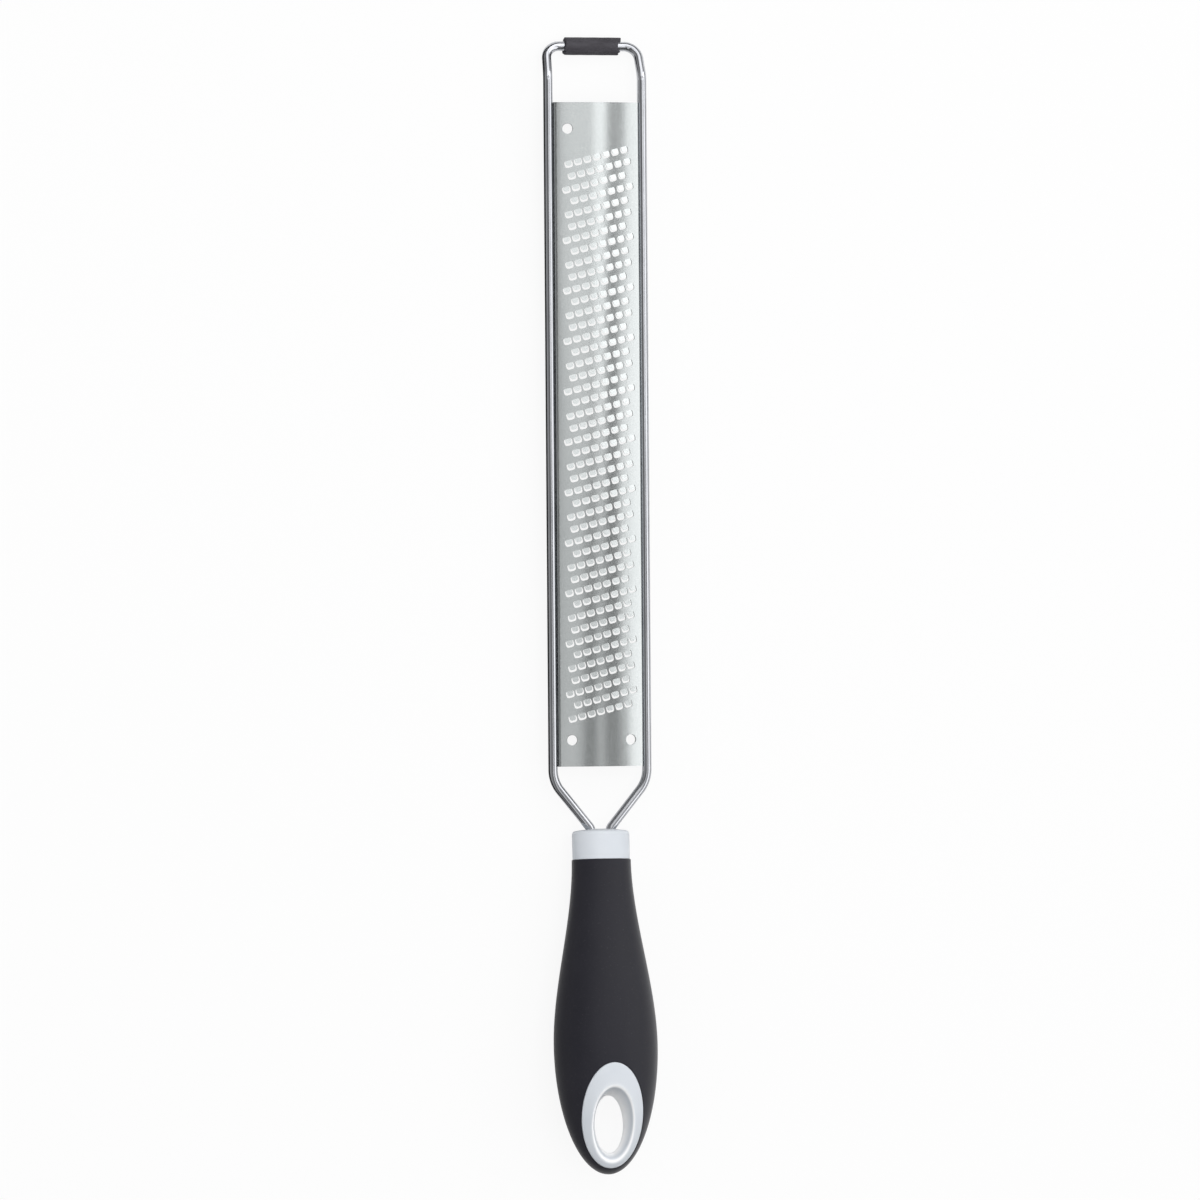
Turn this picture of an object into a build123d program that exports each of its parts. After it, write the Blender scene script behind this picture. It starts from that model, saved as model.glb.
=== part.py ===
"""Rasp zester: a toothed steel channel held in a bent wire frame, with a rubber foot and a moulded handle.

The tool lies as it does on a table, on its rubber foot and on the belly of its grip, toothed face up.
X runs across it, Y runs along it towards the foot, and Z points up. The origin is on the table, under
the middle of the tool's length. The handle is drawn in a frame of its own, whose Y axis is the handle's
long axis with its zero at the collar's front face, and is then seated on the wire frame.
"""

import os
from math import asin, cos, degrees, radians, sin, sqrt, tan

from build123d import *

os.makedirs("parts", exist_ok=True)

# Wire frame: one bent round wire
wire_diameter = 3.2
frame_width = 36.0  # over the outsides of the two long legs
tip_reach = 19.45  # from the blade's end to the middle of the cross wire
tip_bend_reach = 9.2  # from the blade's end to the corner where the loop turns down
tip_bend_radius = 8.0
tip_corner_radius = 4.8
tip_narrowing = 0.5  # how far each leg leans in at the cross wire
throat_reach = 21.25  # from the blade's other end to the collar's front face
throat_corner_reach = 5.1  # from the blade's other end to the corner where the legs turn in
throat_corner_radius = 11.3
tang_spacing = 6.6
tang_bend_radius = 3.2
tang_length = 46.0

# Blade: a shallow channel of thin sheet, toothed face up
blade_length = 225.6
sheet_thickness = 0.5
crown_rise = 1.7  # height of the face's middle over its edges
face_edge_height = 1.9  # of the face's edges over the middle of the wires
flank_depth = 5.2  # from the face's edges to the foot of the flanks
fold_radius = 0.65  # outside the folds between face and flanks
weld_gap = 0.05  # between a flank and its wire

# Teeth: slanting rows of tongues, each raised over its own opening
plain_end = 16.4  # least length of the blade without teeth, at each end
teeth_per_row = 7
row_pitch = 4.28
tooth_pitch = 3.34  # along a row
row_slant = 14.2  # degrees from square across
stagger_shares = (-1 / 12, 3 / 12, -4 / 12, 6 / 12)  # of a tooth pitch, row after row
opening_width = 2.85
opening_length = 2.2
opening_corner = 0.7  # cut off at the two corners round the cutting edge
tongue_side_gap = 0.38
tongue_end_gap = 0.65
tongue_corner = 0.5  # cut off beside the cutting edge
tongue_lift = 0.45  # of the cutting edge over the face
tongue_edge = 0.22  # thickness at the cutting edge
tongue_inset = 0.06  # of the tongue's root inside both faces of the sheet
tongue_root = 0.3  # length of the root inside the sheet

# Round holes at three corners of the blade
corner_hole_diameter = 3.4
corner_hole_inset = 9.0  # from the blade's end
corner_hole_spacing = 20.6

# Rubber sleeve on the cross wire
sleeve_diameter = 6.1
sleeve_length = 18.7
sleeve_gap = 0.03  # between the bore and the wire

# Handle: a hard core with collar and eyelet, under a soft grip, all of one oval section
handle_rise = 4.1  # degrees, tail up
handle_flatness_share = 0.71  # thickness over width
collar_length = 10.45
collar_width = 19.8
collar_dome = 0.9  # of its front face's middle over its edge
collar_rounding = 1.3
neck_width = 20.4  # of the grip where it meets the collar
belly_width = 35.85
belly_reach = 73.85  # from the collar's front face
tail_length = 43.5  # from the belly to the tail's end
skin_thickness = 2.4  # of the soft grip over the hard core
mould_gap = 0.05  # between core and grip

# Eyelet in the tail: an oval of the hard core that shows through the grip, with the hang hole
eyelet_width = 21.3
eyelet_length = 35.7
eyelet_tail_gap = 2.05  # from the oval to the tail's end
waist_width = 10.0  # the hang hole is narrowest near the middle of the handle's thickness
waist_length = 19.5
waist_shift = 2.95  # from the oval's middle towards the tail
waist_height = 1.7  # over the handle's middle
front_mouth_width = 17.6  # it flares towards its mouths, which lie clear of both faces
front_mouth_length = 32.0
front_mouth_shift = 5.8
back_mouth_width = 17.9
back_mouth_length = 27.4
mouth_height = 14.0  # of each mouth, from the handle's middle
rim_rounding = 1.2

overrun = 1.0  # every cut passes its faces by this much

# Places that follow from the sizes
wire_radius = wire_diameter / 2
leg_x = frame_width / 2 - wire_radius
blade_width = 2 * (leg_x - wire_radius - weld_gap)
rise = radians(handle_rise)
neck_length = belly_reach - collar_length
eyelet_reach = belly_reach + tail_length - eyelet_tail_gap - eyelet_length / 2
waist_reach = eyelet_reach + waist_shift
front_mouth_reach = eyelet_reach + front_mouth_shift


def neck_radius(share):
    """Half width of the grip at a share of its neck: a cubic, level at the collar and at the belly."""
    swell = share * share * (3 - 2 * share)
    return neck_width / 2 + (belly_width - neck_width) / 2 * swell


def depth_below_wires(share):
    """How far the underside of the neck lies below the wires, at a share of the neck's length."""
    along = collar_length + share * neck_length
    return handle_flatness_share * neck_radius(share) * cos(rise) - along * sin(rise)


# The wires run level at the height where the foot and the belly both touch the table.
neck_steps = 400
wire_level = max(depth_below_wires(step / neck_steps) for step in range(neck_steps + 1))
tip_drop = wire_level - sleeve_diameter / 2

tail_reach_back = sqrt(
    (tail_length * cos(rise)) ** 2
    + (handle_flatness_share * belly_width / 2 * sin(rise)) ** 2
)
length_before_blade = tip_reach + sleeve_diameter / 2
length_behind_blade = throat_reach + belly_reach * cos(rise) + tail_reach_back
blade_middle = (length_behind_blade - length_before_blade) / 2
blade_tip = blade_middle + blade_length / 2
blade_heel = blade_middle - blade_length / 2
cross_wire_y = blade_tip + tip_reach
collar_y = blade_heel - throat_reach
face_edge_z = wire_level + face_edge_height
handle_seat = Location((0, collar_y, wire_level), (-handle_rise, 0, 0))


# Wire frame
def wire_along_frame(diameter):
    """The frame's wire, from the end of one tang round the foot's cross wire to the end of the other."""
    tang_x = tang_spacing / 2
    tang_end = handle_seat * Location((tang_x, -tang_length, 0))
    half = [
        tang_end.position,
        Vector(tang_x, collar_y, wire_level),
        Vector(leg_x, blade_heel - throat_corner_reach, wire_level),
        Vector(leg_x, blade_tip + tip_bend_reach, wire_level),
        Vector(leg_x - tip_narrowing, cross_wire_y, wire_level - tip_drop),
    ]
    radii = [tang_bend_radius, throat_corner_radius, tip_bend_radius, tip_corner_radius]
    other_half = [Vector(-point.X, point.Y, point.Z) for point in reversed(half)]
    with BuildPart() as wire:
        with BuildLine() as route:
            FilletPolyline(*half, *other_half, radius=radii + radii[::-1])
        with BuildSketch(Plane(origin=route.line @ 0, z_dir=route.line % 0)):
            Circle(diameter / 2)
        sweep(path=route.line)
    return wire.part


with BuildPart() as wire_frame:
    add(wire_along_frame(wire_diameter))

# Blade: the plain channel
crown_radius = ((blade_width / 2) ** 2 + crown_rise**2) / (2 * crown_rise)
crown_centre_z = face_edge_z + crown_rise - crown_radius
inner_half_width = blade_width / 2 - sheet_thickness
inner_crown_radius = crown_radius - sheet_thickness
inner_edge_z = crown_centre_z + sqrt(inner_crown_radius**2 - inner_half_width**2)
flank_foot_z = face_edge_z - flank_depth


def on_crown(x, y, turn):
    """A place on the blade's crowned face, its Z axis square to the face, turned about it."""
    lean = asin(x / crown_radius)
    upright = Location((x, y, crown_centre_z + crown_radius * cos(lean)), (0, degrees(lean), 0))
    return upright * Rotation(0, 0, turn)


with BuildPart() as channel:
    with BuildSketch(Plane.XZ.offset(-blade_tip)):
        with BuildLine():
            outer_foot = Vector(blade_width / 2, flank_foot_z)
            outer_edge = Vector(blade_width / 2, face_edge_z)
            inner_edge = Vector(inner_half_width, inner_edge_z)
            inner_foot = Vector(inner_half_width, flank_foot_z)
            ThreePointArc(
                (-outer_edge.X, outer_edge.Y), (0, face_edge_z + crown_rise), outer_edge
            )
            Polyline(outer_edge, outer_foot, inner_foot, inner_edge)
            ThreePointArc(
                inner_edge, (0, crown_centre_z + inner_crown_radius), (-inner_edge.X, inner_edge.Y)
            )
            Polyline(
                (-inner_edge.X, inner_edge.Y),
                (-inner_foot.X, inner_foot.Y),
                (-outer_foot.X, outer_foot.Y),
                (-outer_edge.X, outer_edge.Y),
            )
        make_face()
        fillet(vertices().group_by(Axis.Y)[-1], fold_radius)
        inner_corners = [v for v in vertices() if abs(v.Y - inner_edge_z) < sheet_thickness / 10]
        fillet(inner_corners, fold_radius - sheet_thickness)
    extrude(amount=blade_length)

# Blade: one tooth, its opening and the tongue over it, drawn about the opening's middle
root_y = opening_length / 2
cutting_y = tongue_end_gap - opening_length / 2
tongue_width = opening_width - 2 * tongue_side_gap

with BuildPart() as opening:
    with BuildSketch():
        Rectangle(opening_width, opening_length)
        chamfer(vertices().group_by(Axis.Y)[0], opening_corner)
    extrude(amount=sheet_thickness + overrun, both=True)

with BuildPart() as tongue:
    with BuildSketch():
        with Locations((0, cutting_y)):
            tongue_length = root_y + tongue_root - cutting_y
            Rectangle(tongue_width, tongue_length, align=(Align.CENTER, Align.MIN))
        chamfer(vertices().group_by(Axis.Y)[0], tongue_corner)
    extrude(amount=tongue_lift + overrun, both=True)
    with BuildSketch(Plane.YZ):
        Polygon(
            (root_y + tongue_root, -tongue_inset),
            (root_y, -tongue_inset),
            (cutting_y, tongue_lift),
            (cutting_y, tongue_lift - tongue_edge),
            (root_y, tongue_inset - sheet_thickness),
            (root_y + tongue_root, tongue_inset - sheet_thickness),
            align=None,
        )
    extrude(amount=tongue_width, both=True, mode=Mode.INTERSECT)

# Blade: bands of whole rows, cut out of the channel along the rows' slant, with their teeth.
# The rows repeat after one cycle of the stagger, so one band of a whole cycle is made and
# set side by side, and the rows left over make a shorter band.
slant = radians(row_slant)
tooth_rows = int((blade_length - 2 * plain_end) / row_pitch)
cycle_rows = len(stagger_shares)
whole_cycles = tooth_rows // cycle_rows
rows_left = tooth_rows - whole_cycles * cycle_rows
first_row_y = blade_middle + (tooth_rows - 1) / 2 * row_pitch
band_top_y = first_row_y + row_pitch / 2
band_reach = blade_width / 2 + overrun
band_skew = band_reach * tan(slant)


def band_block(top_y, rows):
    """The space of some whole rows, bounded between rows along their slant."""
    bottom_y = top_y - rows * row_pitch
    with BuildPart() as block:
        with BuildSketch(Plane.XY.offset(flank_foot_z - overrun)):
            Polygon(
                (-band_reach, top_y - band_skew),
                (-band_reach, bottom_y - band_skew),
                (band_reach, bottom_y + band_skew),
                (band_reach, top_y + band_skew),
                align=None,
            )
        extrude(amount=flank_depth + crown_rise + 2 * overrun)
    return block.part


def toothed_band(rows):
    """The first rows of the blade: their part of the channel, with openings and tongues."""
    tooth_places = []
    for row in range(rows):
        shift = stagger_shares[row] * tooth_pitch
        for place in range(teeth_per_row):
            along = shift + (place - (teeth_per_row - 1) / 2) * tooth_pitch
            tooth_y = first_row_y - row * row_pitch + along * sin(slant)
            tooth_places.append(on_crown(along * cos(slant), tooth_y, row_slant))
    with BuildPart() as band:
        add(channel.part)
        add(band_block(band_top_y, rows), mode=Mode.INTERSECT)
        with Locations(*tooth_places):
            add(opening.part, clean=False, mode=Mode.SUBTRACT)
            add(tongue.part, clean=False)
    return band.part


hole_places = [
    on_crown(-corner_hole_spacing / 2, blade_tip - corner_hole_inset, 0),
    on_crown(-corner_hole_spacing / 2, blade_heel + corner_hole_inset, 0),
    on_crown(corner_hole_spacing / 2, blade_heel + corner_hole_inset, 0),
]
cycle_step = cycle_rows * row_pitch

with BuildPart() as blade_ends:
    add(channel.part)
    add(band_block(band_top_y, tooth_rows), mode=Mode.SUBTRACT)
    with Locations(*hole_places):
        Cylinder(corner_hole_diameter / 2, 2 * (sheet_thickness + overrun), mode=Mode.SUBTRACT)

whole_band = toothed_band(cycle_rows)
bands = [
    whole_band.moved(Location((0, -cycle * cycle_step, 0))) for cycle in range(whole_cycles)
]
if rows_left:
    last_rows = toothed_band(rows_left)
    bands.append(last_rows.moved(Location((0, -whole_cycles * cycle_step, 0))))

with BuildPart() as rasp_blade:
    one_end, other_end = blade_ends.part.solids()
    add(one_end.fuse(other_end, *bands, glue=True), clean=False)

# Rubber sleeve on the cross wire
with BuildPart() as foot_sleeve:
    with Locations(Location((0, cross_wire_y, wire_level - tip_drop), (0, 90, 0))):
        Cylinder(sleeve_diameter / 2, sleeve_length)
        Cylinder(wire_radius + sleeve_gap, sleeve_length, mode=Mode.SUBTRACT)


# Handle
def grip_shape(inset):
    """The whole grip without its openings, `inset` inside its outer face, in the handle's frame."""
    neck = neck_width / 2 - inset
    belly = belly_width / 2 - inset
    neck_third = neck_length / 3
    with BuildPart() as shape:
        with BuildSketch():
            with BuildLine():
                Bezier(
                    (neck, -collar_length),
                    (neck, -collar_length - neck_third),
                    (belly, -belly_reach + neck_third),
                    (belly, -belly_reach),
                )
                EllipticalCenterArc(
                    (0, -belly_reach), belly, tail_length - inset, start_angle=-90, arc_size=90
                )
                Polyline(
                    (0, -belly_reach - tail_length + inset), (0, -collar_length), (neck, -collar_length)
                )
            make_face()
        revolve(axis=Axis.Y)
    return shape.part.scale((1, 1, handle_flatness_share))


collar_radius = collar_width / 2
dome_radius = (collar_radius**2 + collar_dome**2) / (2 * collar_dome)

with BuildPart() as collar:
    with BuildSketch():
        with BuildLine():
            RadiusArc((0, 0), (collar_radius, -collar_dome), dome_radius)
            Polyline(
                (collar_radius, -collar_dome),
                (collar_radius, -collar_length),
                (0, -collar_length),
                (0, 0),
            )
        make_face()
        fillet(vertices().sort_by(Axis.X)[-2:].sort_by(Axis.Y)[-1], collar_rounding)
    revolve(axis=Axis.Y)

with BuildPart() as eyelet_column:
    with BuildSketch(Plane.XY.offset(-belly_width / 2)):
        with Locations((0, -eyelet_reach)):
            Ellipse(eyelet_width / 2, eyelet_length / 2)
    extrude(amount=belly_width)

with BuildPart() as hang_hole:
    for height, width, length, reach in (
        (mouth_height, front_mouth_width, front_mouth_length, front_mouth_reach),
        (-mouth_height, back_mouth_width, back_mouth_length, waist_reach),
    ):
        with BuildSketch(Plane.XY.offset(waist_height)):
            with Locations((0, -waist_reach)):
                Ellipse(waist_width / 2, waist_length / 2)
        with BuildSketch(Plane.XY.offset(height)):
            with Locations((0, -reach)):
                Ellipse(width / 2, length / 2)
        loft(ruled=True)

with BuildPart() as eyelet:
    add(grip_shape(0))
    add(eyelet_column.part, mode=Mode.INTERSECT)
    add(hang_hole.part, mode=Mode.SUBTRACT)
    closed_edges = edges().filter_by(lambda edge: edge.is_closed).sort_by(SortBy.LENGTH)
    waist_edge, *hole_rims = closed_edges[:3]
    fillet(hole_rims, rim_rounding)

with BuildPart() as core_in_handle_frame:
    add(grip_shape(skin_thickness))
    add(collar.part.scale((1, 1, handle_flatness_share)))
    add(hang_hole.part, mode=Mode.SUBTRACT)
    add(eyelet.part)

with BuildPart() as handle_core:
    add(core_in_handle_frame.part.moved(handle_seat))
    add(wire_along_frame(wire_diameter + 2 * mould_gap), mode=Mode.SUBTRACT)

with BuildPart() as grip_in_handle_frame:
    add(grip_shape(0))
    add(grip_shape(skin_thickness - mould_gap), mode=Mode.SUBTRACT)
    with BuildSketch(Plane.XY.offset(-belly_width / 2)):
        with Locations((0, -eyelet_reach)):
            Ellipse(eyelet_width / 2 + mould_gap, eyelet_length / 2 + mould_gap)
    extrude(amount=belly_width, mode=Mode.SUBTRACT)

with BuildPart() as grip:
    add(grip_in_handle_frame.part.moved(handle_seat))

for name, piece in (
    ("wire_frame", wire_frame),
    ("rasp_blade", rasp_blade),
    ("foot_sleeve", foot_sleeve),
    ("handle_core", handle_core),
    ("grip", grip),
):
    piece.part.label = name
    export_step(piece.part, f"parts/{name}.step")
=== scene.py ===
"""The looks of a rasp zester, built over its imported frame.

Sizes are in millimetres and become metres when a mesh is made. X runs across the tool, Y along it towards
the rubber foot, and Z up. The handle is drawn in a frame of its own, in which u runs from the collar's
front face to the tail and z is square to the handle, and is then seated on the wires with its tail up.
"""

from math import cos, pi, radians, sin, tan

import bmesh
import bpy
import numpy as np
from mathutils import Matrix, Vector


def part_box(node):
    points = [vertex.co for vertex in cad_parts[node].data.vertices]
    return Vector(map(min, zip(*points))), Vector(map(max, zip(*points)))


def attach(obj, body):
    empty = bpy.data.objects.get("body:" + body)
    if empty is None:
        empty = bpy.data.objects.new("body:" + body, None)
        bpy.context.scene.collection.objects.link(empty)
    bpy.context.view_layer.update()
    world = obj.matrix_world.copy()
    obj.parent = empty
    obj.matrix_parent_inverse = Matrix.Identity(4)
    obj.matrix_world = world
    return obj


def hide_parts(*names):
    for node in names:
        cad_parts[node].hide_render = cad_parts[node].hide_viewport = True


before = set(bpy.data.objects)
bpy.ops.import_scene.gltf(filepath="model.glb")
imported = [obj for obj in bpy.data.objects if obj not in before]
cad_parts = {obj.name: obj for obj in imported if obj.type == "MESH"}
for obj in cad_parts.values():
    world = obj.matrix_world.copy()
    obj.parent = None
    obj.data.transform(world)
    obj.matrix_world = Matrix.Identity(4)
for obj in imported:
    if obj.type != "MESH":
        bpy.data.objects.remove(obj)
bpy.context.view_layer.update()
MM = 0.001

# Sizes
wire_radius = 1.6
leg_x = 16.398  # of a leg's middle
tip_bend_reach = 9.2
tip_bend_radius = 8.0
tip_corner_radius = 4.8
tip_narrowing = 0.5
throat_reach = 21.25
throat_corner_reach = 5.1
throat_corner_radius = 11.3
tang_x = 3.3
tang_bend_radius = 3.2
tang_shown = 16.0  # length of a tang that is drawn, inside the handle

sheet = 0.5
crown_rise = 1.7
face_edge_height = 1.9
flank_depth = 5.2
fold_radius = 0.65
half_blade = 14.75
foot_easing = 0.06  # at the corners of a flank's foot

tooth_rows = 45
teeth_per_row = 7
row_pitch = 4.28
tooth_pitch = 3.34
slant = radians(14.2)
stagger_twelfths = (-1, 3, -4, 6)  # of a tooth pitch, row after row
opening_width = 2.85
opening_length = 2.2
tongue_side_gap = 0.38
tongue_end_gap = 0.65
tongue_lift = 0.45
tongue_edge = 0.22  # thickness at the cutting edge
round_power, square_power = 3.2, 9.0  # of the opening's lower and upper corners
corner_power = 3.5  # of the tongue's corners
corner_draw = 0.42  # how far those corners are drawn in
edge_narrowing = 0.05  # share of a tongue's width that is lost towards its edge
root_overlap = 0.12  # of a tongue over the sheet beyond its opening, and what its root is thinner by
root_lap = 0.01  # height of a tongue's root over the sheet's face

hole_radius = 1.7
hole_inset = 9.0
hole_x = 10.3
edge_easing, edge_depth = 0.12, 0.03  # of a hole's eased edge: width and depth
edge_guard = 0.2  # from the hole to the outside of the flat ring round that edge

sleeve_radius = 3.045
sleeve_length = 18.7
sleeve_gap = 0.03  # between its bore and the wire

rise = radians(4.1)
flatness = 0.71
collar_length = 10.45
collar_radius = 9.9
collar_dome = 0.9
collar_rounding = 1.3
neck_radius = 10.2
belly_radius = 17.91
belly_reach = 73.85
tail_length = 43.49
skin = 2.4

oval_reach, oval_half_width, oval_half_length = 97.45, 10.65, 17.85
waist_height = 1.7
mouth_height = 14.0
hole_waist = np.array((5.0, 9.75, 100.4))  # half width, half length, reach
front_mouth = np.array((8.8, 16.0, 103.25))
back_mouth = np.array((8.95, 13.7, 100.4))
rim_rounding = 1.2
waist_easing = 0.5
oval_rounding = 0.25  # of the eyelet's outer edge
lip_gap, lip_round = 0.05, 0.25  # of the grip's edge round the oval
lip_depth = 2.2  # of the grip's wall beside the oval
grip_edge_round = 0.35  # of the grip's edge by the collar

# Places taken from the frame
blade_low, blade_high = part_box("rasp_blade")
sleeve_low, sleeve_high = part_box("foot_sleeve")
blade_tip, blade_heel = blade_high.y / MM, blade_low.y / MM
blade_middle = (blade_tip + blade_heel) / 2
wire_level = blade_low.z / MM + flank_depth - face_edge_height
face_edge_z = wire_level + face_edge_height
cross_wire_y = (sleeve_low.y + sleeve_high.y) / 2 / MM
cross_wire_z = (sleeve_low.z + sleeve_high.z) / 2 / MM
collar_y = blade_heel - throat_reach


# Mesh making
def grid_faces(rows, columns, first=0, closed_rows=False, closed_columns=False):
    """Four-cornered faces between neighbours of a grid of points that is numbered row by row."""
    row = np.arange(rows if closed_rows else rows - 1)[:, None]
    column = np.arange(columns if closed_columns else columns - 1)[None, :]
    next_row, next_column = (row + 1) % rows, (column + 1) % columns
    corners = (
        row * columns + column,
        row * columns + next_column,
        next_row * columns + next_column,
        next_row * columns + column,
    )
    return first + np.stack(np.broadcast_arrays(*corners), -1).reshape(-1, 4)


class Surfaces:
    """Gathers grids of points and their faces, each point with a value for the finish, into one mesh."""

    def __init__(self):
        self.points, self.faces, self.tags, self.count = [], [], [], 0

    def add(self, points, faces, tags=None):
        """Points and faces that are numbered from the first of them."""
        points = np.asarray(points, float).reshape(-1, 3)
        tags = np.zeros((len(points), 3)) if tags is None else np.asarray(tags, float).reshape(-1, 3)
        self.points.append(points)
        self.faces.append(faces + self.count)
        self.tags.append(tags)
        self.count += len(points)

    def grid(self, points, tags=None, flip=False, closed_rows=False, closed_columns=False):
        """A grid of points, rows first, whose faces look along (next column) x (next row)."""
        rows, columns = points.shape[:2]
        faces = grid_faces(rows, columns, 0, closed_rows, closed_columns)
        self.add(points, faces[:, ::-1] if flip else faces, tags)

    def piece(self, name, node, finish, sharp=32.0, weld=2e-6):
        """One object of all that was gathered: doubled points merged, smooth but for its sharp edges."""
        mesh = bpy.data.meshes.new(name)
        points = np.concatenate(self.points) * MM
        mesh.from_pydata(points.tolist(), [], np.concatenate(self.faces).tolist())
        tag = mesh.attributes.new("tag", "FLOAT_VECTOR", "POINT")
        tag.data.foreach_set("vector", np.concatenate(self.tags).ravel())
        work = bmesh.new()
        work.from_mesh(mesh)
        bmesh.ops.remove_doubles(work, verts=work.verts, dist=weld)
        bmesh.ops.dissolve_degenerate(work, edges=work.edges, dist=weld / 4)
        work.to_mesh(mesh)
        work.free()
        mesh.polygons.foreach_set("use_smooth", [True] * len(mesh.polygons))
        mesh.set_sharp_from_angle(angle=radians(sharp))
        mesh.materials.append(finish)
        made = bpy.data.objects.new(name, mesh)
        bpy.context.scene.collection.objects.link(made)
        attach(made, "root")
        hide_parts(node)
        return made


def bent_line(corners, radii, arc_steps=24):
    """Straight runs joined by arcs: an arc leaves its run a radius times the tangent of half the turn
    before the corner, and its points are the radius times the sine and one minus the cosine of the angle
    turned so far, along the run and square to it."""
    corners = np.array(corners, float)
    runs = np.diff(corners, axis=0)
    runs /= np.linalg.norm(runs, axis=1)[:, None]
    line = [corners[:1]]
    for corner, before, after, radius in zip(corners[1:-1], runs[:-1], runs[1:], radii):
        turn = np.arccos(before @ after)
        inward = (after - before * cos(turn)) / sin(turn)
        angle = np.linspace(0, turn, arc_steps + 1)[:, None]
        start = corner - before * radius * tan(turn / 2)
        line.append(start + radius * (np.sin(angle) * before + (1 - np.cos(angle)) * inward))
    line.append(corners[-1:])
    return np.concatenate(line)


def tube(line, radius, around=40):
    """A circle carried along a line: each point is the line's point plus the radius times the cosine of
    its angle sideways and the sine upwards, both square to the line. The ends close to a point."""
    along = np.gradient(line, axis=0)
    along /= np.linalg.norm(along, axis=1)[:, None]
    side = np.cross(along, (0, 0, 1))
    side /= np.linalg.norm(side, axis=1)[:, None]
    lift = np.cross(side, along)
    angle = np.linspace(0, 2 * pi, around, endpoint=False)[None, :, None]
    ring = np.cos(angle) * side[:, None] + np.sin(angle) * lift[:, None]
    length = np.concatenate([[0], np.cumsum(np.linalg.norm(np.diff(line, axis=0), axis=1))])
    first, last = (np.repeat(line[[end]][:, None], around, 1) for end in (0, -1))
    points = np.concatenate([first, line[:, None] + radius * ring, last])
    length = np.concatenate([length[:1], length, length[-1:]])
    angle = angle[..., 0]
    tags = np.stack(np.broadcast_arrays(np.cos(angle), np.sin(angle), length[:, None]), -1)
    return points, tags


# Materials
def feed(tree, socket, value):
    """A link from another node, or else a plain value, for one socket."""
    if isinstance(value, bpy.types.NodeSocket):
        tree.links.new(value, socket)
    else:
        socket.default_value = value


class Finish:
    """A procedural material: a Principled shader and the nodes that feed it."""

    def __init__(self, name):
        self.material = bpy.data.materials.new(name)
        self.material.use_nodes = True
        self.tree = self.material.node_tree
        self.shader = self.tree.nodes["Principled BSDF"]
        self.place = self.tree.nodes.new("ShaderNodeTexCoord").outputs["Object"]

    def node(self, kind, settings=None, **inputs):
        """A node with its settings and inputs. An input goes by its name, or by an i and its number."""
        made = self.tree.nodes.new("ShaderNode" + kind)
        for key, value in (settings or {}).items():
            setattr(made, key, value)
        for key, value in inputs.items():
            socket = int(key[1:]) if key[1:].isdigit() else key.replace("_", " ")
            self.feed(made.inputs[socket], value)
        return made

    def feed(self, socket, value):
        feed(self.tree, socket, value)

    def set(self, **values):
        """Values or links for the shader's own inputs."""
        for key, value in values.items():
            self.feed(self.shader.inputs[key.replace("_", " ")], value)

    def scaled(self, x, y, z, source=None):
        """Places on the object, or those of another source, times a scale on each axis."""
        return self.node("Mapping", Vector=source or self.place, Scale=(x, y, z)).outputs["Vector"]

    def noise(self, where, scale=1.0, detail=3.0, roughness=0.55):
        made = self.node("TexNoise", Vector=where, Scale=scale, Detail=detail, Roughness=roughness)
        return made.outputs["Fac"]

    def ramp(self, value, low, high, out_low=0.0, out_high=1.0):
        """A straight line from one pair of values to the other, held at both ends."""
        made = self.node("MapRange", i0=value, i1=low, i2=high, i3=out_low, i4=out_high)
        return made.outputs["Result"]

    def math(self, operation, first, second=0.0):
        made = self.node("Math", {"operation": operation}, i0=first, i1=second)
        return made.outputs[0]

    def mix(self, factor, first, second):
        """The first colour plus the factor times what the second differs by."""
        made = self.tree.nodes.new("ShaderNodeMix")
        made.data_type = "RGBA"
        for socket, value in zip((made.inputs[0], made.inputs[6], made.inputs[7]), (factor, first, second)):
            self.feed(socket, value)
        return made.outputs[2]

    def bump(self, height, strength, distance_mm, below=None):
        """The surface's tilt by a height, over another tilt if there is one."""
        made = self.node("Bump", Height=height, Strength=strength, Distance=distance_mm * MM)
        if below is not None:
            self.feed(made.inputs["Normal"], below)
        return made.outputs["Normal"]


def polished_wire():
    """Bright drawn wire: faint lines along it, and a little dulling in patches."""
    look = Finish("polished_wire")
    tag = look.node("Attribute", {"attribute_name": "tag"}).outputs["Vector"]
    lines = look.noise(look.scaled(9.0, 9.0, 0.06, tag), 1.0, 2.0)
    dulling = look.noise(look.scaled(160, 60, 160), 1.0, 3.0)
    look.set(
        Base_Color=look.mix(look.ramp(dulling, 0.3, 0.7), (0.50, 0.51, 0.54, 1), (0.60, 0.61, 0.64, 1)),
        Metallic=1.0,
        Roughness=look.ramp(dulling, 0.3, 0.75, 0.08, 0.15),
        Normal=look.bump(lines, 0.08, 0.012),
    )
    return look.material


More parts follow.
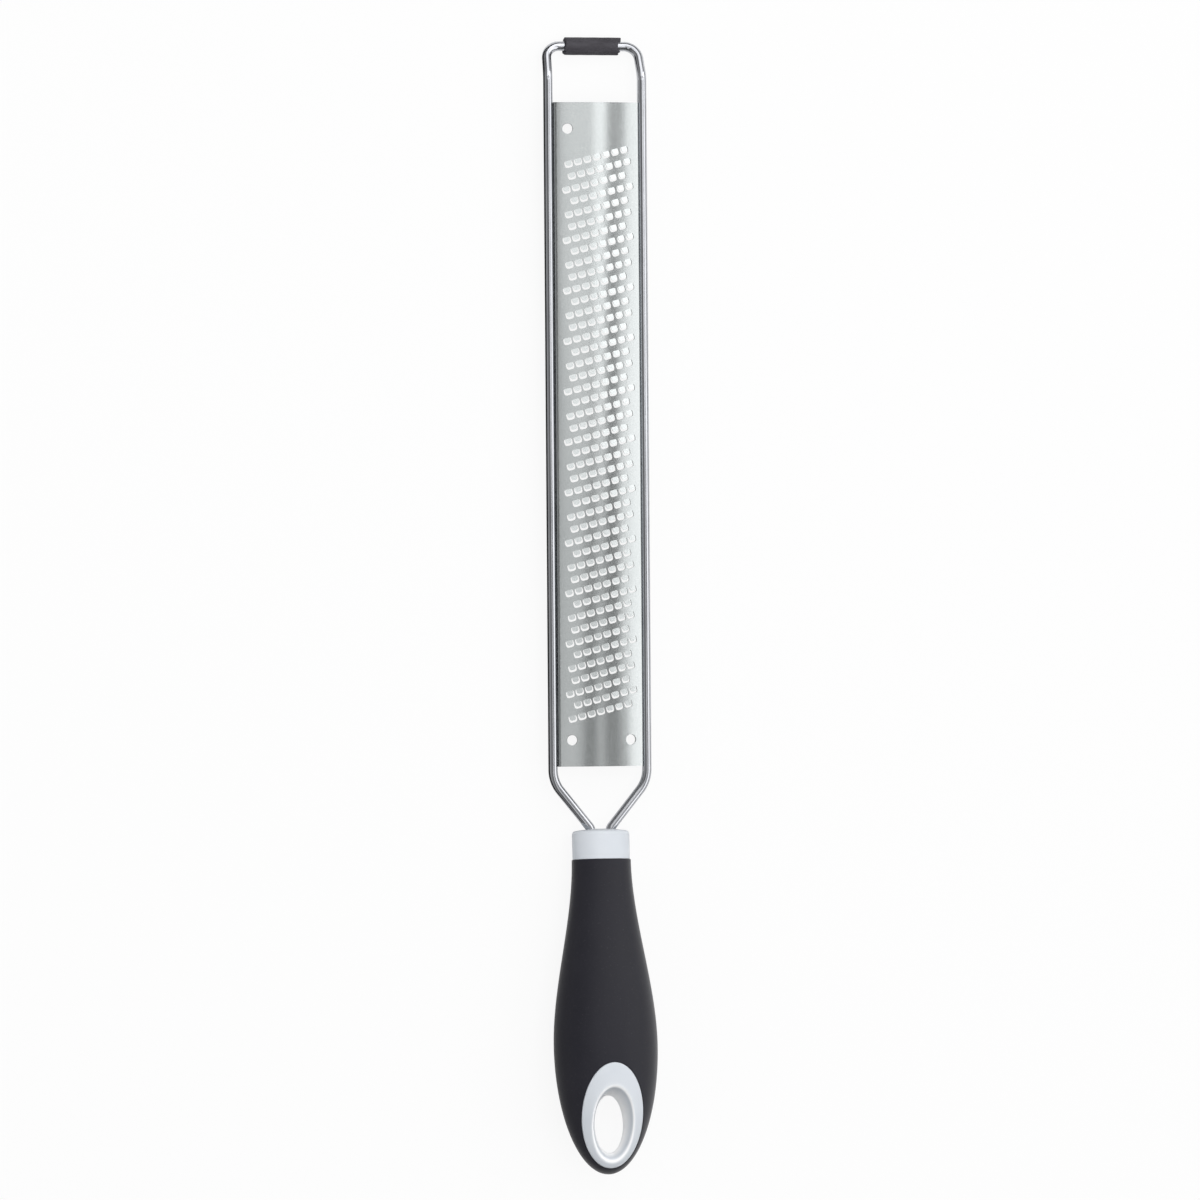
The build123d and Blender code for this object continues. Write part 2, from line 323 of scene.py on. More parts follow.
def rolled_sheet():
    """Rolled stainless sheet: a fine grain along its length, mottled a little, and softly reflecting."""
    look = Finish("rolled_sheet")
    grain = look.noise(look.scaled(3400, 420, 3400), 1.0, 2.0, 0.6)
    fleck = look.noise(look.scaled(1500, 1100, 1500), 1.0, 3.0, 0.6)
    cloud = look.noise(look.scaled(70, 22, 70), 1.0, 3.0)
    tone = look.mix(look.ramp(cloud, 0.3, 0.7), (0.50, 0.53, 0.53, 1), (0.54, 0.565, 0.565, 1))
    tone = look.mix(look.ramp(fleck, 0.35, 0.7, 0.0, 0.3), tone, (0.46, 0.48, 0.485, 1))
    speckle = look.noise(look.scaled(3000, 3000, 3000), 1.0, 1.0)
    tone = look.mix(look.ramp(speckle, 0.35, 0.7, 0.0, 0.3), tone, (0.72, 0.74, 0.74, 1))
    look.set(
        Base_Color=tone,
        Metallic=1.0,
        Roughness=look.ramp(grain, 0.3, 0.7, 0.155, 0.205),
        Normal=look.bump(grain, 0.1, 0.01, look.bump(speckle, 0.06, 0.01)),
    )
    return look.material


def foot_rubber():
    """Dark cut rubber: soft patches, a dull skin and a fine grit."""
    look = Finish("foot_rubber")
    patch = look.noise(look.scaled(160, 620, 620), 1.0, 3.0)
    grit = look.noise(look.scaled(2600, 2600, 2600), 1.0, 3.0)
    tone = look.mix(look.ramp(patch, 0.35, 0.7), (0.038, 0.035, 0.042, 1), (0.056, 0.053, 0.062, 1))
    tone = look.mix(look.ramp(grit, 0.5, 0.75, 0.0, 0.3), tone, (0.09, 0.088, 0.094, 1))
    look.set(Base_Color=tone, Roughness=look.ramp(grit, 0.3, 0.7, 0.62, 0.82))
    look.set(Normal=look.bump(grit, 0.4, 0.05, look.bump(patch, 0.25, 0.08)))
    look.shader.inputs["Specular IOR Level"].default_value = 0.35
    return look.material


def grey_moulding():
    """Light grey hard plastic: a satin skin with a very fine texture and slight clouding. Painted light
    makes it
    paler where its tag says so: a painted highlight along the hole's rim and painted light down the hole's
    wall."""
    look = Finish("grey_moulding")
    cloud = look.noise(look.scaled(90, 90, 90), 1.0, 3.0)
    grain = look.noise(look.scaled(5200, 5200, 5200), 1.0, 2.0)
    tag = look.node("Attribute", {"attribute_name": "tag"}).outputs["Vector"]
    tag = look.node("SeparateXYZ", Vector=tag).outputs
    tone = look.mix(look.ramp(cloud, 0.3, 0.7), (0.581, 0.6145, 0.6585, 1), (0.613, 0.644, 0.683, 1))
    # painted light: paler down the hole's wall, as if lit through the hole
    tone = look.mix(look.math("MULTIPLY", tag[1], 0.9), tone, (0.95, 0.95, 0.95, 1))
    # painted highlight: paler along the rim's rounding
    tone = look.mix(look.math("MULTIPLY", tag[0], 0.9), tone, (0.95, 0.955, 0.96, 1))
    look.set(
        Base_Color=tone,
        Roughness=look.ramp(cloud, 0.3, 0.7, 0.34, 0.42),
        Normal=look.bump(grain, 0.12, 0.012),
    )
    look.shader.inputs["Specular IOR Level"].default_value = 0.45
    return look.material


def charcoal_grip():
    """Charcoal soft-touch rubber: an even fine texture, a dull bloom in patches and a soft sheen."""
    look = Finish("charcoal_grip")
    grain = look.noise(look.scaled(4200, 4200, 4200), 1.0, 2.0)
    bloom = look.noise(look.scaled(60, 45, 60), 1.0, 4.0, 0.6)
    speck = look.noise(look.scaled(1700, 1700, 1700), 1.0, 2.0)
    tone = look.mix(look.ramp(bloom, 0.3, 0.72), (0.0085, 0.0083, 0.0140, 1), (0.0125, 0.0122, 0.0185, 1))
    tone = look.mix(look.ramp(speck, 0.62, 0.78, 0.0, 0.35), tone, (0.05, 0.049, 0.054, 1))
    look.set(Base_Color=tone, Roughness=look.ramp(bloom, 0.3, 0.7, 0.50, 0.60))
    look.set(Normal=look.bump(grain, 0.35, 0.02))
    look.shader.inputs["Specular IOR Level"].default_value = 0.33
    look.shader.inputs["Sheen Weight"].default_value = 0.3
    look.shader.inputs["Sheen Roughness"].default_value = 0.45
    return look.material


# Wire frame
def seat_on_wires(points):
    """From the handle's frame (x, u, z) to the tool's: tail up by the rise, collar's front at its place."""
    x, u, z = np.moveaxis(np.asarray(points, float), -1, 0)
    y = collar_y - u * cos(rise) + z * sin(rise)
    return np.stack([x, y, wire_level + u * sin(rise) + z * cos(rise)], -1)


def make_wire_frame():
    """One round wire along a bent line: from a tang through the throat, down the leg and round the loop at
    the foot, and back on the other side, which is the same line with x turned over."""
    half = [
        seat_on_wires((tang_x, tang_shown, 0)),
        (tang_x, collar_y, wire_level),
        (leg_x, blade_heel - throat_corner_reach, wire_level),
        (leg_x, blade_tip + tip_bend_reach, wire_level),
        (leg_x - tip_narrowing, cross_wire_y, cross_wire_z),
    ]
    radii = [tang_bend_radius, throat_corner_radius, tip_bend_radius, tip_corner_radius]
    other = [(-x, y, z) for x, y, z in reversed(half)]
    line = bent_line(half + other, radii + radii[::-1])
    wire = Surfaces()
    points, tags = tube(line, wire_radius)
    wire.grid(points, tags, closed_columns=True, flip=True)
    return wire.piece("bent_wire", "wire_frame", polished_wire())


# Blade
crown_radius = (half_blade**2 + crown_rise**2) / (2 * crown_rise)
crown_centre_z = face_edge_z + crown_rise - crown_radius
fold_lean = np.arcsin((half_blade - fold_radius) / (crown_radius - fold_radius))
fold_z = crown_centre_z + (crown_radius - fold_radius) * cos(fold_lean)
crown_end = crown_radius * fold_lean
fold_end = crown_end + fold_radius * (pi / 2 - fold_lean)
flank_end = fold_end + fold_z - (face_edge_z - flank_depth)
hole_s = crown_radius * np.arcsin(hole_x / crown_radius)  # of a round hole's middle, along the crown

# The sheet's net
cell_steps = 12  # across a tooth's cell
cell_rows = 4  # along it
margin_steps = 48  # from the middle to the margin, where the folds' net begins
step = tooth_pitch * cos(slant) / cell_steps
margin = margin_steps * step
row_steps = teeth_per_row * cell_steps
first_row_y = blade_middle + (tooth_rows - 1) / 2 * row_pitch
hole_steps = 9  # half width, in steps, of the net's block that carries a round hole
hole_reach = 3.0  # half length of that block


def on_sheet(s, y, height):
    """The sheet's place for a distance s across it from the middle, y along it, and a height over its
    outer face. The section is the crown's arc, then the fold's, then the straight flank."""
    s, y, height = np.broadcast_arrays(*(np.asarray(v, float) for v in (s, y, height)))
    reach = np.abs(s)
    on_fold = np.clip((reach - crown_end) / fold_radius, 0, pi / 2 - fold_lean)
    lean = np.minimum(reach, crown_end) / crown_radius + on_fold
    down = np.maximum(reach - fold_end, 0)
    crowned = reach <= crown_end
    x = np.where(crowned, crown_radius * np.sin(lean), half_blade - fold_radius + fold_radius * np.sin(lean))
    z = np.where(crowned, crown_centre_z + crown_radius * np.cos(lean), fold_z + fold_radius * np.cos(lean))
    x, z = x + height * np.sin(lean), z - down + height * np.cos(lean)
    return np.stack([np.sign(s) * x, y, z], -1)


def lay(net, s, y, height, flip=False, **closed):
    """A grid of points of the sheet, added to its net."""
    net.grid(on_sheet(s, y, height), flip=flip, **closed)


def frame_of(steps_wide, steps_high):
    """The points of a net's outline, counterclockwise from the lower left, as shares of width and height:
    each side is divided evenly, and its last corner belongs to the next side."""
    wide, high = np.arange(steps_wide) / steps_wide, np.arange(steps_high) / steps_high
    low = np.stack([wide, 0 * wide], 1)
    right = np.stack([0 * high + 1, high], 1)
    return np.concatenate([low, right, 1 - low, 1 - right])


def tooth_opening():
    """The outline of an opening, counterclockwise from its lower left: a box whose two lower corners are
    round and whose upper ones are nearly square. A superellipse of two powers gives both. Each side has as
    many points as the same side of the cell's outline."""
    low = np.linspace(-135, -45, cell_steps, endpoint=False)
    angle = np.radians(np.concatenate([low, [-45, -33, -12, 18], low + 180, [135, 162, 192, 213]]))
    a, b = np.cos(angle), np.sin(angle)
    power = np.where(b < 0, round_power, square_power)
    size = (np.abs(a) ** power + np.abs(b) ** power) ** (-1 / power)
    return a * size * opening_width / 2, b * size * opening_length / 2


def tongue_net():
    """A tongue over its opening: a flat plate of five rows of seven points that rises evenly from its root
    to its cutting edge, whose corners are drawn in, with an underside that comes near it at the edge."""
    across = np.linspace(-1, 1, 7)[None, :]
    along = np.linspace(0, 1, 5)[:, None]  # root to cutting edge
    half = opening_width / 2 - tongue_side_gap
    root, edge = opening_length / 2 + root_overlap, tongue_end_gap - opening_length / 2
    round_off = np.clip(1 - np.abs(across) ** corner_power, 0, 1)
    p = half * across * (1 - edge_narrowing * along**3) + 0 * along
    q = root + (edge + corner_draw * (1 - round_off) * along - root) * along
    lift = tongue_lift * (root - q) / (root - edge)
    top = np.stack(np.broadcast_arrays(p, q, lift + root_lap * (1 - along)), -1)
    thick = sheet - root_overlap + (tongue_edge - sheet + root_overlap) * along
    under = np.stack(np.broadcast_arrays(p, q, lift - thick), -1)
    return top, under


def tooth_places():
    """Where each tooth's middle lies across and along the sheet: rows of one pitch, each shifted by its
    share of the four-row stagger, along lines that slant."""
    rows, places = np.arange(tooth_rows), np.arange(teeth_per_row)
    shift = np.array(stagger_twelfths)[rows % 4] * step
    centre_s = shift[:, None] + (places[None, :] - (teeth_per_row - 1) / 2) * cell_steps * step
    centre_y = (first_row_y - rows * row_pitch)[:, None] + centre_s * tan(slant)
    return centre_s, centre_y


def turned(p, q):
    """Points of a tooth's own frame, turned by the slant of its row."""
    return p * cos(slant) - q * sin(slant), p * sin(slant) + q * cos(slant)


def repeated(faces, times, points_each):
    """One shape's faces for each of its copies, whose points follow one another."""
    return (faces[None] + (np.arange(times) * points_each)[:, None, None]).reshape(-1, 4)


def lay_cells(net, centre_s, centre_y):
    """Each tooth's cell is a ring of faces from its own outline in to its opening, above and below, with
    the opening's wall between them."""
    outline = frame_of(cell_steps, cell_rows)
    opening_s, opening_y = turned(*tooth_opening())
    cell_s = (outline[:, 0] - 0.5) * cell_steps * step
    cell_y = (outline[:, 1] - 0.5) * row_pitch + cell_s * tan(slant)
    ring_s = np.stack([cell_s, opening_s, opening_s, cell_s])
    ring_y = np.stack([cell_y, opening_y, opening_y, cell_y])
    ring_h = np.array([0, 0, -sheet, -sheet])[:, None]
    cells = on_sheet(centre_s[..., None, None] + ring_s, centre_y[..., None, None] + ring_y, ring_h)
    cells = cells.reshape(-1, 4 * len(outline), 3)
    ring = grid_faces(4, len(outline), closed_columns=True)
    net.add(cells, repeated(ring, len(cells), 4 * len(outline)))


def lay_tongues(net, centre_s, centre_y):
    """Each tongue has an upper and a lower net of as many points, joined round its rim and at its root."""
    top, under = tongue_net()
    rows, columns = top.shape[:2]
    count = rows * columns
    p, q, height = np.moveaxis(np.stack([top, under]), -1, 0)
    s, y = turned(p, q)
    tongues = on_sheet(centre_s[..., None, None, None] + s, centre_y[..., None, None, None] + y, height)
    tongues = tongues.reshape(-1, 2 * count, 3)
    rim = np.concatenate([
        np.arange(0, count, columns),
        np.arange(count - columns + 1, count),
        np.arange(count - columns - 1, 0, -columns),
    ])
    at_root = np.arange(columns)
    faces = np.concatenate([
        grid_faces(rows, columns)[:, ::-1],
        grid_faces(rows, columns, count),
        np.stack([rim[:-1], rim[1:], rim[1:] + count, rim[:-1] + count], 1),
        np.stack([at_root[:-1], at_root[:-1] + count, at_root[1:] + count, at_root[1:]], 1),
    ])
    net.add(tongues, repeated(faces, len(tongues), 2 * count))


def lay_row_ends(net):
    """The plain ends of each row, from the margin to the first cell and from the last cell to the margin."""
    up = (np.arange(cell_rows + 1) / cell_rows - 0.5)[:, None] * row_pitch
    for row in range(tooth_rows):
        first = stagger_twelfths[row % 4] - row_steps // 2
        for start, stop in ((-margin_steps, first), (first + row_steps, margin_steps)):
            if stop > start:
                s = np.arange(start, stop + 1)[None, :] * step
                y = first_row_y - row * row_pitch + s * tan(slant) + up
                lay(net, s, y, 0)
                lay(net, s, y, -sheet, flip=True)


def lay_round_hole(net, column, middle_y):
    """A block of the net round one hole: rings of faces from its outline in to the hole, above and below.
    Outwards from the hole come its wall, an eased edge and a flat guard."""
    box = frame_of(2 * hole_steps, 8)
    middle_s = np.sign(column) * hole_s
    box_s = (column + (box[:, 0] * 2 - 1) * hole_steps) * step
    box_y = middle_y + (box[:, 1] * 2 - 1) * hole_reach
    angle = np.arctan2(box_y - middle_y, box_s - middle_s)
    radii = hole_radius + np.array([edge_guard, edge_easing, 0, 0, edge_easing, edge_guard])[:, None]
    ring_s = np.concatenate([[box_s], middle_s + radii * np.cos(angle), [box_s]])
    ring_y = np.concatenate([[box_y], middle_y + radii * np.sin(angle), [box_y]])
    ring_h = np.array([0, 0, 0, -edge_depth, edge_depth - sheet, -sheet, -sheet, -sheet])[:, None]
    lay(net, ring_s, ring_y, ring_h, closed_columns=True)


def lay_plain_bands(net):
    """The plain bands beyond the teeth: slanted next to the teeth, then square, with the round holes: one
    on the left at the tip and two at the heel."""
    s = np.arange(-margin_steps, margin_steps + 1)[None, :] * step
    hole_column = int(round(hole_s / step))
    for end, y_end in ((1, blade_tip), (-1, blade_heel)):
        line = blade_middle + end * (tooth_rows / 2) * row_pitch + s * tan(slant)
        square = y_end - end * (hole_inset + hole_reach)
        columns = [-hole_column] if end > 0 else [-hole_column, hole_column]
        for height, turn in ((0, end < 0), (-sheet, end > 0)):
            lay(net, s, line + (square - line) * np.linspace(0, 1, 4)[:, None], height, flip=turn)
            outward = y_end - end * (hole_inset - hole_reach) - square
            beside = square + outward * np.linspace(0, 1, 9)[:, None]
            edges = [c + d for c in columns for d in (-hole_steps, hole_steps)]
            edges = [-margin_steps] + edges + [margin_steps]
            for start, stop in zip(edges[::2], edges[1::2]):
                strip = np.arange(start, stop + 1)[None, :] * step
                lay(net, strip, beside + 0 * strip, height, flip=turn)
            rest = beside[-1] + (y_end - beside[-1]) * np.linspace(0, 1, 5)[:, None]
            lay(net, s, rest + 0 * s, height, flip=turn)
        for column in columns:
            lay_round_hole(net, column, y_end - end * hole_inset)


def edge_profile():
    """The sheet from the margin over the fold to the flank's foot, and back inside, as pairs of a distance
    from the middle and a height over the outer face. The foot's two corners are eased."""
    down = np.concatenate([
        np.linspace(margin, crown_end, 4),
        np.linspace(crown_end, fold_end, 10)[1:],
        np.linspace(fold_end, flank_end, 5)[1:],
    ])
    outer = np.stack([down, 0 * down], 1)
    inner = np.stack([down[::-1], 0 * down - sheet], 1)
    outer[-1, 0] -= foot_easing
    inner[0, 0] -= foot_easing
    foot = np.array([[flank_end, -foot_easing], [flank_end, foot_easing - sheet]])
    return outer, foot, inner


def margin_stations(side):
    """Where the net's rows meet the margin on one side, from the blade's tip to its heel."""
    skew = side * margin * tan(slant)
    quarters = np.arange(tooth_rows * cell_rows + 1) / cell_rows
    toothed = blade_middle - (quarters - tooth_rows / 2) * row_pitch + skew
    near, far = hole_inset - hole_reach, hole_inset + hole_reach
    tip = (blade_tip, blade_tip - near, blade_tip - far, toothed[0])
    heel = (toothed[-1], blade_heel + far, blade_heel + near, blade_heel)
    before = [np.linspace(*ends, n + 1)[:-1] for *ends, n in zip(tip, tip[1:], (4, 8, 3))]
    after = [np.linspace(*ends, n + 1)[1:] for *ends, n in zip(heel, heel[1:], (3, 8, 4))]
    return np.concatenate(before + [toothed] + after)


def lay_folds_and_ends(net):
    """The margins, folds and flanks with both faces and each flank's foot, then the sheet's cut ends."""
    outer, foot, inner = edge_profile()
    profile = np.concatenate([outer, foot, inner])
    for side in (-1, 1):
        stations = margin_stations(side)[:, None]
        lay(net, side * profile[None, :, 0], stations, profile[None, :, 1], flip=side < 0)

    middle = np.arange(1 - margin_steps, margin_steps) * step
    top_line = np.concatenate([-outer[::-1, 0], middle, outer[:, 0]])
    low_line = np.concatenate([-inner[:, 0], middle, inner[::-1, 0]])
    corner = np.array([[outer[-1], foot[0]], [inner[0], foot[1]]])
    for y_end, turn in ((blade_tip, True), (blade_heel, False)):
        lay(net, np.stack([top_line, low_line]), y_end, np.array([[0.0], [-sheet]]), flip=turn)
        for side in (-1, 1):
            lay(net, side * corner[..., 0], y_end, corner[..., 1], flip=turn != (side < 0))


def make_blade():
    """One net of the whole sheet, laid by distances across and along it and heights over its face."""
    net = Surfaces()
    centre_s, centre_y = tooth_places()
    lay_cells(net, centre_s, centre_y)
    lay_tongues(net, centre_s, centre_y)
    lay_row_ends(net)
    lay_plain_bands(net)
    lay_folds_and_ends(net)
    return net.piece("toothed_blade", "rasp_blade", rolled_sheet(), sharp=28.0)


# Rubber foot
def spur(angle, at, width):
    """A bell round the sleeve: the exponential of minus the squared angle from its middle over its width."""
    return np.exp(-((((angle - at + pi) % (2 * pi) - pi) / width) ** 2))


def make_foot():
    """A thick tube along the cross wire. Its ends are torn: the reach of each end is the half length plus
    a few waves round the tube, with a slanted flap and a spur at the left end, and two spurs and a shorter
    top at the right. The skin is a few sines round and along the tube, never over the sleeve's radius, and
    sinks at both ends. Angle 0 looks to +Y, a quarter turn is up."""
    angle = np.linspace(0, 2 * pi, 180, endpoint=False)
    radius = sleeve_radius * (1 + 0.006 * np.sin(5 * angle + 1) + 0.004 * np.sin(11 * angle))
    radius = np.minimum(radius, sleeve_radius)
    ragged = 0.06 * np.sin(7 * angle + 0.5) + 0.05 * np.sin(13 * angle + 2) + 0.04 * np.sin(29 * angle)

    flap_start, flap_width, flap_length = 1.3, 0.85, 0.6
    on_flap = (angle > flap_start) & (angle < flap_start + flap_width)
    flap = np.where(on_flap, (angle - flap_start) / flap_width, 0)
    left_inset, right_inset, top_inset = 0.02, 0.1, 0.5
    left = -sleeve_length / 2 + left_inset - ragged - flap_length * flap - 0.35 * spur(angle, 4.1, 0.5)
    spurs = 1.1 * spur(angle, 0.2, 0.13) + 0.75 * spur(angle, 2.3, 0.16)
    right = sleeve_length / 2 - right_inset + ragged + spurs - top_inset * np.maximum(np.sin(angle), 0)

    share = np.concatenate([[0, 0.008, 0.02], np.linspace(0.05, 0.95, 40), [0.98, 0.992, 1]])[:, None]
    x = left + (right - left) * share
    sunk, fading = 0.035, 0.006  # share of the radius at each end, and share of the length it fades in
    swell = 1 - sunk * np.exp(-share / fading) - sunk * np.exp(-(1 - share) / fading)
    ripple = 0.004
    wave = 1 + ripple * np.sin(share * 23 + 2 * np.cos(angle)) - ripple
    foot = Surfaces()
    rings = [
        np.stack([reach, cross_wire_y + r * np.cos(angle), cross_wire_z + r * np.sin(angle)], -1)
        for reach, r in ((x, radius * swell * wave), (x[::-1], wire_radius + sleeve_gap + 0 * x))
    ]
    foot.grid(np.concatenate(rings), closed_rows=True, closed_columns=True)
    return foot.piece("rubber_foot", "foot_sleeve", foot_rubber(), sharp=50.0)


# Handle
neck_length = belly_reach - collar_length


def half_width(reach):
    """Half width of the grip at a reach from the collar's face: a cubic down the neck, then an ellipse."""
    share = np.clip((reach - collar_length) / neck_length, 0, 1)
    swell = share * share * (3 - 2 * share)
    neck = neck_radius + (belly_radius - neck_radius) * swell
    tail = np.clip((reach - belly_reach) / tail_length, 0, 1)
    return np.where(reach <= belly_reach, neck, belly_radius * np.sqrt(1 - tail**2))


def top_face(x, reach):
    """Height of the grip's outer face over the handle's middle plane."""
    return flatness * np.sqrt(np.maximum(half_width(reach) ** 2 - x**2, 0))


def oval(angle, grow=0.0):
    """The eyelet's outline, grown by so much: the half width times the cosine of the angle across, and the
    middle's reach plus the half length times the sine along the handle."""
    return (oval_half_width + grow) * np.cos(angle), oval_reach + (oval_half_length + grow) * np.sin(angle)


def mirrored(surfaces, points, flip=False, **closed):
    """The upper half's points and, turned inside out, the same below the handle's middle plane."""
    surfaces.grid(seat_on_wires(points), points, flip=flip, **closed)
    surfaces.grid(seat_on_wires(points * (1, 1, -1)), points, flip=not flip, **closed)


def grip_face(station, angle):
    """The grip's outer face. Station 0 is the collar, 1 the belly and 2 the tail's end. Down the neck the
    reach grows with the station. On the tail it grows with the sine of the station's share of a quarter
    turn, and the half width shrinks with the cosine. Across, a point is the half width times the sine of
    its angle, and up it is the cosine, flattened."""
    on_tail = np.clip(station - 1, 0, 1) * pi / 2
    neck_reach = collar_length + station * neck_length
    reach = np.where(station <= 1, neck_reach, belly_reach + tail_length * np.sin(on_tail))
    neck_width = half_width(np.minimum(reach, belly_reach))
    width = np.where(station <= 1, neck_width, belly_radius * np.cos(on_tail))
    return np.stack([width * np.sin(angle), reach, flatness * width * np.cos(angle)], -1)


def make_grip():
    """Each half is a net between the oval and the border of a field of two parameters: the station along
    the grip and the angle round it. Lines run straight in that field from the oval to its border."""
    grip = Surfaces()
    start, tail_end = grip_edge_round / neck_length, 2  # stations of the front edge's rounding and the tail
    front, flank = 132, 100  # points along the border's short and long sides
    corner = np.linspace(-pi / 2, pi / 2, front, endpoint=False)
    run = start + (tail_end - start) * np.linspace(0, 1, flank, endpoint=False)
    back_run = run[::-1] + (tail_end - start) / flank
    border_station = np.concatenate([0 * corner + start, run, 0 * corner + tail_end, back_run])
    border_angle = np.concatenate([corner, 0 * run + pi / 2, -corner, 0 * run - pi / 2])
    # Directions from the oval's middle, spread as the border's are, in the plan of the handle
    turns = np.array([-0.74, -0.26, 0.3, 0.7, 1.26]) * pi
    sides = zip(turns, turns[1:], (front, flank, front, flank))
    spread = np.concatenate([np.linspace(*ends, points, endpoint=False) for *ends, points in sides])
    x, reach = oval(spread, lip_gap + lip_round)
    oval_station = 1 + np.arcsin((reach - belly_reach) / tail_length) * 2 / pi
    oval_angle = np.arcsin(x / half_width(reach))
    t = (np.linspace(0, 1, 64) ** 1.15)[:, None]  # a little closer together by the oval
    station = oval_station + (border_station - oval_station) * t
    angle = oval_angle + (border_angle - oval_angle) * t
    mirrored(grip, grip_face(station, angle), flip=True, closed_columns=True)

    # The rolled edge at the oval, and the wall that goes down beside the eyelet
    roll = np.linspace(0, pi / 2, 5)[:, None]
    rolled_x, rolled_reach = oval(spread[None], lip_gap + lip_round - lip_round * np.sin(roll))
    depth = lip_round * (1 - np.cos(roll))
    lip = np.stack([rolled_x, rolled_reach, top_face(rolled_x, rolled_reach) - depth], -1)
    wall_x, wall_reach = oval(spread, lip_gap)
    wall = np.stack([wall_x, wall_reach, top_face(wall_x, wall_reach) - lip_depth], -1)[None]
    mirrored(grip, np.concatenate([lip, wall]), closed_columns=True)

    # The front edge by the collar, rolled in to a flat ledge
    turn = np.concatenate([np.linspace(0, pi / 2, 6), [pi / 2]])[:, None]
    inset = grip_edge_round * (1 - np.cos(turn))
    inset[-1] = skin
    reach = collar_length + grip_edge_round * (1 - np.sin(turn))
    width = neck_radius - inset
    ring = np.concatenate([corner, [pi / 2]])[None]
    front_edge = np.stack([width * np.sin(ring), reach + 0 * ring, flatness * width * np.cos(ring)], -1)
    mirrored(grip, front_edge)
    return grip.piece("soft_grip", "grip", charcoal_grip(), sharp=45.0, weld=1.2e-5)


def collar_net():
    """The collar, as rings of an oval section: a domed front, a rounded edge, a straight side and a
    slightly eased end where it meets the grip. The dome's radius comes from its rise and the collar's."""
    dome_radius = (collar_radius**2 + collar_dome**2) / (2 * collar_dome)
    inner = collar_radius - collar_rounding
    lean = np.arcsin(inner / (dome_radius - collar_rounding))
    corner_reach = dome_radius - (dome_radius - collar_rounding) * cos(lean)
    dome, turn = np.linspace(0, lean, 8)[:-1], np.linspace(lean, pi / 2, 10)
    radius = np.concatenate([
        dome_radius * np.sin(dome),
        inner + collar_rounding * np.sin(turn),
        [collar_radius] * 5,
        [collar_radius - 0.05, collar_radius - 0.2, skin * 3.2, 0],  # the eased end and the hidden face
    ])[:, None]
    reach = np.concatenate([
        dome_radius * (1 - np.cos(dome)),
        corner_reach - collar_rounding * np.cos(turn),
        np.linspace(corner_reach, collar_length - 0.25, 7)[1:-1],
        [collar_length - 0.06, collar_length, collar_length, collar_length],
    ])[:, None]
    angle = np.linspace(0, 2 * pi, 144, endpoint=False)[None]
    return np.stack([radius * np.sin(angle), reach + 0 * angle, flatness * radius * np.cos(angle)], -1)


def hole_outline(angle, height, mouth, side):
    """The hang hole's outline at a height over the middle plane on one side: it flares from the waist in
    proportion to the height over it, but for half a millimetre's easing there."""
    over_waist = height - side * waist_height
    share = (np.sqrt(over_waist**2 + waist_easing**2) - waist_easing) / (mouth_height - side * waist_height)
    wide, long, middle = (low + (high - low) * share for low, high in zip(hole_waist, mouth))
    return wide * np.cos(angle), middle + long * np.sin(angle)


def eyelet_net(mouth, side):
    """One half of the eyelet, as rings: up its outer wall, over the eased edge and the flush face, round
    the rim and down the flared wall to the waist. The rim is a quadratic curve: its start times the square
    of what is left, its corner times twice the share times what is left, its end times the share squared.
    With the net come the finish's tags for painted light: how near the rim's rounding a point is, as a bell,
    which paints a highlight there, and how far down the hole's wall it lies, as a straight line that is held
    at both ends, which paints the wall paler as if lit."""
    angle = np.linspace(0, 2 * pi, 200, endpoint=False)
    rim_z = 8.0 + 0 * angle  # where wall and face meet: halfway steps from a first guess settle on it
    for _ in range(60):
        rim_z = 0.5 * rim_z + 0.5 * top_face(*hole_outline(angle, rim_z, mouth, side))
    rim_x, rim_reach = hole_outline(angle, rim_z, mouth, side)

    rings = []
    for share in (0.0, 0.5):  # the outer wall, hidden in the grip
        x, reach = oval(angle)
        rings.append(np.stack([x, reach, share * top_face(x, reach)], -1))
    for roll in np.linspace(0, pi / 2, 5):
        x, reach = oval(angle, -oval_rounding * (1 - np.cos(roll)))
        rings.append(np.stack([x, reach, top_face(x, reach) - oval_rounding * (1 - np.sin(roll))], -1))
    out_x, out_reach = oval(angle, -oval_rounding)
    away = np.stack([out_x - rim_x, out_reach - rim_reach], -1)
    gap = np.linalg.norm(away, axis=-1)
    back = np.minimum(rim_rounding, gap * 0.75) / gap  # how far before the corner the rim's curve begins
    for share in np.linspace(0, 1, 14)[1:]:
        x = out_x + (rim_x + away[:, 0] * back - out_x) * share
        reach = out_reach + (rim_reach + away[:, 1] * back - out_reach) * share
        rings.append(np.stack([x, reach, top_face(x, reach)], -1))
    rim_start = len(rings)
    before = rings[-1]
    corner = np.stack([rim_x, rim_reach, rim_z], -1)
    low_x, low_reach = hole_outline(angle, rim_z - rim_rounding, mouth, side)
    after = np.stack([low_x, low_reach, rim_z - rim_rounding], -1)
    for share in np.linspace(0, 1, 9)[1:]:
        rings.append((1 - share) ** 2 * before + 2 * share * (1 - share) * corner + share**2 * after)
    wall_start = len(rings)
    for share in np.linspace(1, 0, 22)[1:]:
        z = side * waist_height + (rim_z - rim_rounding - side * waist_height) * share
        x, reach = hole_outline(angle, z, mouth, side)
        rings.append(np.stack([x, reach, z], -1))

    order = np.arange(len(rings))
    # painted highlight along the rim, and painted light that grows down the hole's wall
    rim_highlight_middle, rim_highlight_spread, fading = 2.5, 2.4, 14.0  # in rings
    lip = np.exp(-(((order - rim_start - rim_highlight_middle) / rim_highlight_spread) ** 2))
    down = np.clip((order - wall_start) / fading, 0, 1)
    points = np.stack(rings) * (1, 1, side)
    return points, np.broadcast_to(np.stack([lip, down, 0 * down], -1)[:, None], points.shape)


